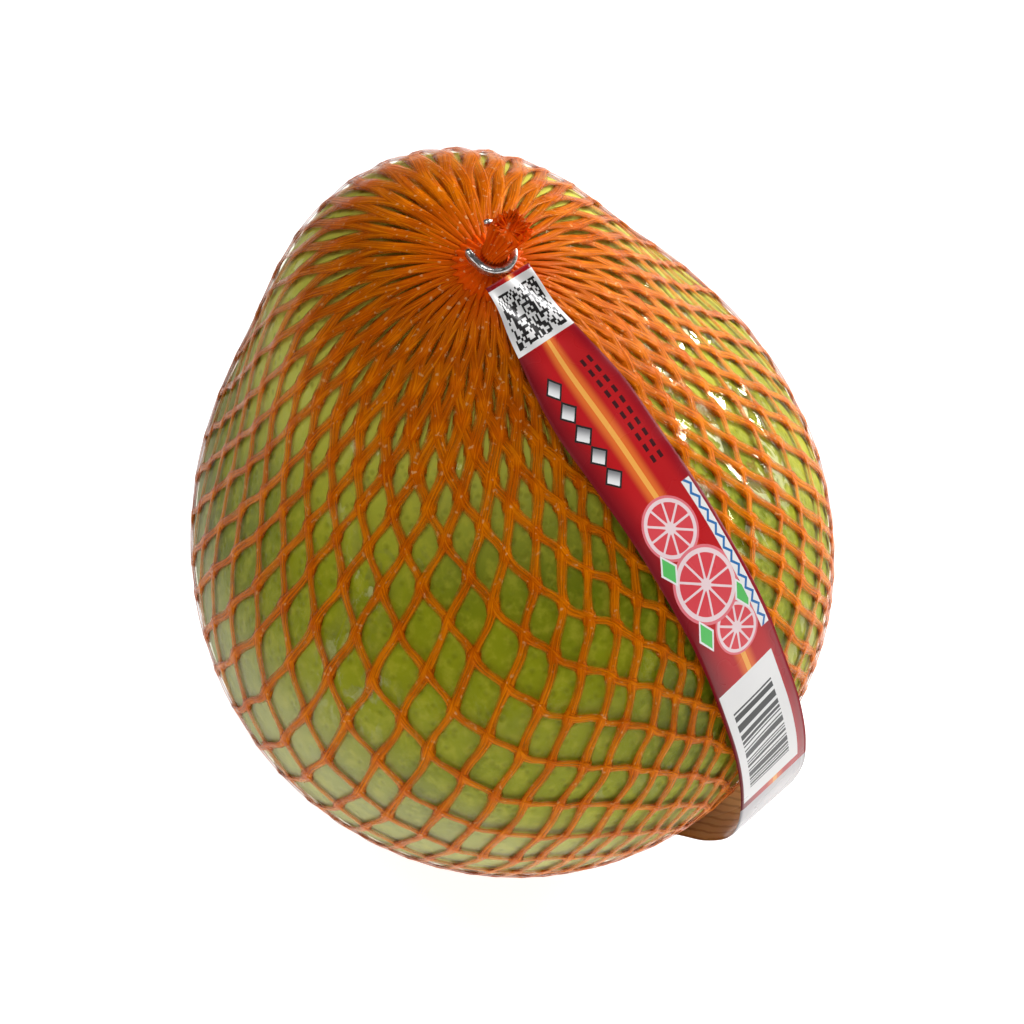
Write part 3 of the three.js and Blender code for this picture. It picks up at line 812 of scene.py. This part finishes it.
# Each slice and each leaf: across, along, and the slice's radius.
SLICES = ((-1.5, 84.0, 5.6), (1.0, 59.0, 6.6), (0.5, 72.5, 8.0))
LEAVES = ((6.4, 65.5), (-6.2, 79.0), (6.0, 81.0))
PRINT_WHITE, PRINT_BLACK = (0.78, 0.77, 0.76, 1), (0.02, 0.018, 0.018, 1)
PRINT_RED = (0.47, 0.009, 0.012, 1)
RED_RIGHT, RED_LEFT = (0.17, 0.003, 0.008, 1), (0.24, 0.003, 0.012, 1)
STRIPE_ORANGE, STRIPE_YELLOW = (0.78, 0.18, 0.03, 1), (0.92, 0.50, 0.10, 1)
SILVER_DARK, SILVER_BRIGHT = (0.20, 0.20, 0.21, 1), (0.80, 0.80, 0.80, 1)
DASH_BROWN, BAR_BLACK = (0.05, 0.008, 0.01, 1), (0.05, 0.05, 0.05, 1)
SLICE_WHITE = (0.80, 0.62, 0.64, 1)
SLICE_FLESH, SLICE_PEEL = (0.66, 0.060, 0.075, 1), (0.72, 0.17, 0.20, 1)
LEAF_GREEN, ZIGZAG_BLUE = (0.10, 0.50, 0.12, 1), (0.03, 0.16, 0.42, 1)
FOLD_GREY, FOLD_PALE = (0.50, 0.48, 0.49, 1), (0.62, 0.56, 0.62, 1)
BACK_BROWN, BACK_LINE = (0.42, 0.22, 0.09, 1), (0.20, 0.09, 0.03, 1)


def route_points(route):
    """The points of a route, from its angles and distances."""
    return [over_rind(direction(a, b), np.array(float(d))) for a, b, d in route]


def strap_line():
    """The strap's middle line and the length along it: cubic pieces through the route's points, whose
    slopes weigh the distances between the points by their square roots."""
    knots = route_points(STRAP_ROUTE)
    flat_top = -(rind_radius(np.array([0.0, 0.0, -1.0])) + STRAP_INSIDE)
    knots += [np.array([0, s * STRAP_FLAT_HALF, flat_top]) for s in (-1, -0.5, 0, 0.5, 1)]
    knots = np.array(knots + route_points(STRAP_END_ROUTE))
    p = np.vstack([2 * knots[0] - knots[1], knots, 2 * knots[-1] - knots[-2]])
    gaps = np.sqrt(np.linalg.norm(np.diff(p, axis=0), axis=1))[:, None]
    before, between, after = gaps[:-2], gaps[1:-1], gaps[2:]
    p0, p1, p2, p3 = p[:-3], p[1:-2], p[2:-1], p[3:]
    leave = ((p1 - p0) / before - (p2 - p0) / (before + between) + (p2 - p1) / between) * between
    arrive = ((p2 - p1) / between - (p3 - p1) / (between + after) + (p3 - p2) / after) * between
    t = np.linspace(0, 1, 80, endpoint=False)[None, :, None]
    p1, p2, leave, arrive = (v[:, None, :] for v in (p1, p2, leave, arrive))
    square = 3 * (p2 - p1) - 2 * leave - arrive
    cube = 2 * (p1 - p2) + leave + arrive
    line = p1 + leave * t + square * t**2 + cube * t**3
    line = np.vstack([line.reshape(-1, 3), knots[-1]])
    length = np.concatenate([[0], np.cumsum(np.linalg.norm(np.diff(line, axis=0), axis=1))])
    even = np.linspace(0, length[-1], STRAP_ROWS)
    line = np.stack([np.interp(even, length, line[:, i]) for i in range(3)], -1)
    on_flat = (np.abs(line[:, 2] - flat_top) < 0.25) & (np.abs(line[:, 1]) < STRAP_FLAT_HALF)
    line[on_flat, 2] = flat_top
    return line, even


def strap():
    """The band: a thin flat section with rounded edges carried along the line, narrow at the clips. The
    end under the top clip is creased lengthwise. Each point keeps its place in the print."""
    line, even = strap_line()
    along = unit(np.gradient(line, axis=0))
    away = unit(line)
    level = smooth((line[:, 2:] + STRAP_LEVEL_BELOW) / STRAP_LEVEL_BELOW)
    away = unit(away * (1 - level) + rind_normal(away) * level)
    across = unit(np.cross(along, away))
    out = unit(np.cross(across, along))
    share = even / even[-1]
    narrow = (STRAP_WIDTH - STRAP_TOP_WIDTH) * (1 - smooth(share / STRAP_TAPER))
    narrow = narrow + (STRAP_WIDTH - STRAP_BOTTOM_WIDTH) * (1 - smooth((1 - share) / STRAP_TAPER))
    half = (STRAP_WIDTH - narrow)[:, None] / 2
    side = np.linspace(-1, 1, STRAP_ACROSS)
    edge = np.sqrt(np.clip(1 - ((np.abs(side) - 0.97) / 0.03).clip(0, 1) ** 2, 0, 1))
    crumpled = np.exp(-((even - CREASE_MIDDLE) / CREASE_LENGTH) ** 2)[:, None] * CREASE_DEPTH
    crease = crumpled * np.sin(6 * side[None, :] + 0.45 * even[:, None])
    crease = crease + CURL_DEPTH * np.sin(0.21 * even)[:, None] * np.cos(3 * side)[None, :] * level
    lift_out = STRAP_THICKNESS * (0.5 + 0.3 * edge)[None, :] + crease
    lift_in = STRAP_THICKNESS * (0.5 - 0.3 * edge)[None, :] + crease
    lift = np.concatenate([lift_out, lift_in[:, ::-1]], 1)
    reach = np.concatenate([side, side[::-1]])[None, :] * half
    points = line[:, None] + reach[..., None] * across[:, None] + lift[..., None] * out[:, None]
    outside = np.concatenate([np.ones(STRAP_ACROSS), np.zeros(STRAP_ACROSS)])[None, :] + 0 * reach
    layout = np.stack([reach * PRINT_HALF / half, even[:, None] + 0 * reach, outside], -1)
    rows, columns = reach.shape
    caps = [np.arange(columns)[None, :], np.arange(columns)[None, ::-1] + (rows - 1) * columns]
    return points, [grid_faces(rows, columns)[:, ::-1], *caps], layout


def strap_finish():
    """The print, laid down by place on the band, and the band's brown back."""
    material, tree, out = finish_called("printed_strap")
    layout = put(tree, "Attribute", attribute_name="layout")
    parts = put(tree, "SeparateXYZ", layout.outputs["Vector"])
    across, along, outside = (Amount(o) for o in parts.outputs)

    def apart(a, b):
        """Distance on the print from a place a across and b along."""
        return ((across - a) * (across - a) + (along - b) * (along - b)).work("SQRT")

    def lozenge(a, b, wide, long):
        """1 inside a lozenge in the middle of a place a across and b along."""
        return (across - a).work("ABSOLUTE") / wide + (along - b).work("ABSOLUTE") / long < 1.0

    # Deep red ground, darker towards both edges, with an orange stripe along the middle.
    colour = over(across.rise(3, 10), PRINT_RED, RED_RIGHT)
    colour = over(across.rise(-6, -10), colour, RED_LEFT)
    colour = over(across.rise(2.6, 0.6) * across.rise(-3.2, -1.2) * 0.8, colour, STRIPE_ORANGE)
    colour = over(across.between(-0.9, 0.3) * 0.7, colour, STRIPE_YELLOW)
    # A row of silver lozenges with dark borders, and two rows of dark dashes.
    step = ((along / LOZENGE_STEP).work("FRACT") - 0.5) * LOZENGE_STEP
    row = along.between(*LOZENGE_ROW)
    silver = over((across - LOZENGE_ACROSS + step).rise(-2.0, 1.6), SILVER_DARK, SILVER_BRIGHT)
    for size, paint in ((1.3, PRINT_BLACK), (1.0, silver)):
        inside = (across - LOZENGE_ACROSS).work("ABSOLUTE") / 1.9 + step.work("ABSOLUTE") / 2.0 < size
        colour = over(inside * row, colour, paint)
    dash = ((along / DASH_STEP).work("FRACT") > 0.4) * row
    for a in DASH_ACROSS:
        colour = over(dash * across.between(a - DASH_HALF, a + DASH_HALF), colour, DASH_BROWN)
    # Three cut slices of citrus with leaves between them.
    for a, b, size in SLICES:
        far = apart(a, b)
        spokes = ((along - b).work("ARCTAN2", across - a) * 5).work("SINE").work("ABSOLUTE")
        flesh = (spokes * far > 1.2) * (far < size * 0.80)
        slice_colour = over(flesh, SLICE_WHITE, SLICE_FLESH)
        slice_colour = over(far > size * 0.92, slice_colour, SLICE_PEEL)
        colour = over(far < size, colour, slice_colour)
    for a, b in LEAVES:
        colour = over(lozenge(a, b, 2.2, 3.6), colour, PRINT_WHITE)
        colour = over(lozenge(a, b, 1.7, 2.9), colour, LEAF_GREEN)
    # White line with a blue zigzag along one side.
    line = along.between(*ZIGZAG_LINE) * (across + ZIGZAG_SIDE).between(-1.1, 1.1)
    wander = along.work("PINGPONG", 1.6) * 0.75
    zigzag = (across + (ZIGZAG_SIDE + 0.6) - wander).work("ABSOLUTE") < 0.34
    colour = over(line, colour, over(zigzag, PRINT_WHITE, ZIGZAG_BLUE))
    # White panel of square black modules.
    tiles = put(tree, "CombineXYZ")
    for index, value in enumerate(((across / MODULE_SIZE), (along / MODULE_SIZE))):
        tree.links.new(value.work("FLOOR").socket, tiles.inputs[index])
    chance = put(tree, "TexWhiteNoise", tiles.outputs[0], noise_dimensions="2D")
    dark = Amount(chance.outputs["Value"]) > 0.46
    dark = dark * across.between(-8.6, 8.6) * along.between(*MODULE_FIELD)
    colour = over(along.between(*MODULE_PANEL), colour, over(dark, PRINT_WHITE, PRINT_BLACK))
    # White panel of plain black bars that run across.
    chance = put(tree, "TexWhiteNoise", noise_dimensions="1D")
    tree.links.new((along / BAR_STEP).work("FLOOR").socket, chance.inputs["W"])
    dark = Amount(chance.outputs["Value"]) > 0.52
    dark = dark * across.between(-4.6, 7.2) * along.between(*BAR_FIELD)
    bars = over(dark, PRINT_WHITE, BAR_BLACK)
    colour = over(along.between(*BAR_PANEL) * (across > -7.2) * (across < 9.2), colour, bars)
    # Grey panel from the fold on.
    colour = over(along.between(*FOLD_PANEL), colour, FOLD_GREY)
    # The back: brown with darker lines, and pale at the fold.
    lines = (across * 2.6 + noise(tree, layout.outputs["Vector"], 0.3) * 3).work("SINE").rise(0.3, 0.9)
    inner = over(lines * 0.6, BACK_BROWN, BACK_LINE)
    inner = over(along.rise(131, 137) * along.rise(158, 151), inner, FOLD_PALE)
    colour = over(outside > 0.5, inner, colour)
    shader = plastic(tree, Base_Color=colour, Roughness=smudged(tree, 80, 0.20, 0.34), IOR=1.4)
    tree.links.new(shader.outputs[0], out)
    return material


strap_points, strap_faces, strap_layout = strap()
piece(
    "printed_strap", strap_points, strap_faces, strap_finish(), ["label_strap"],
    fields=[("layout", strap_layout)],
)
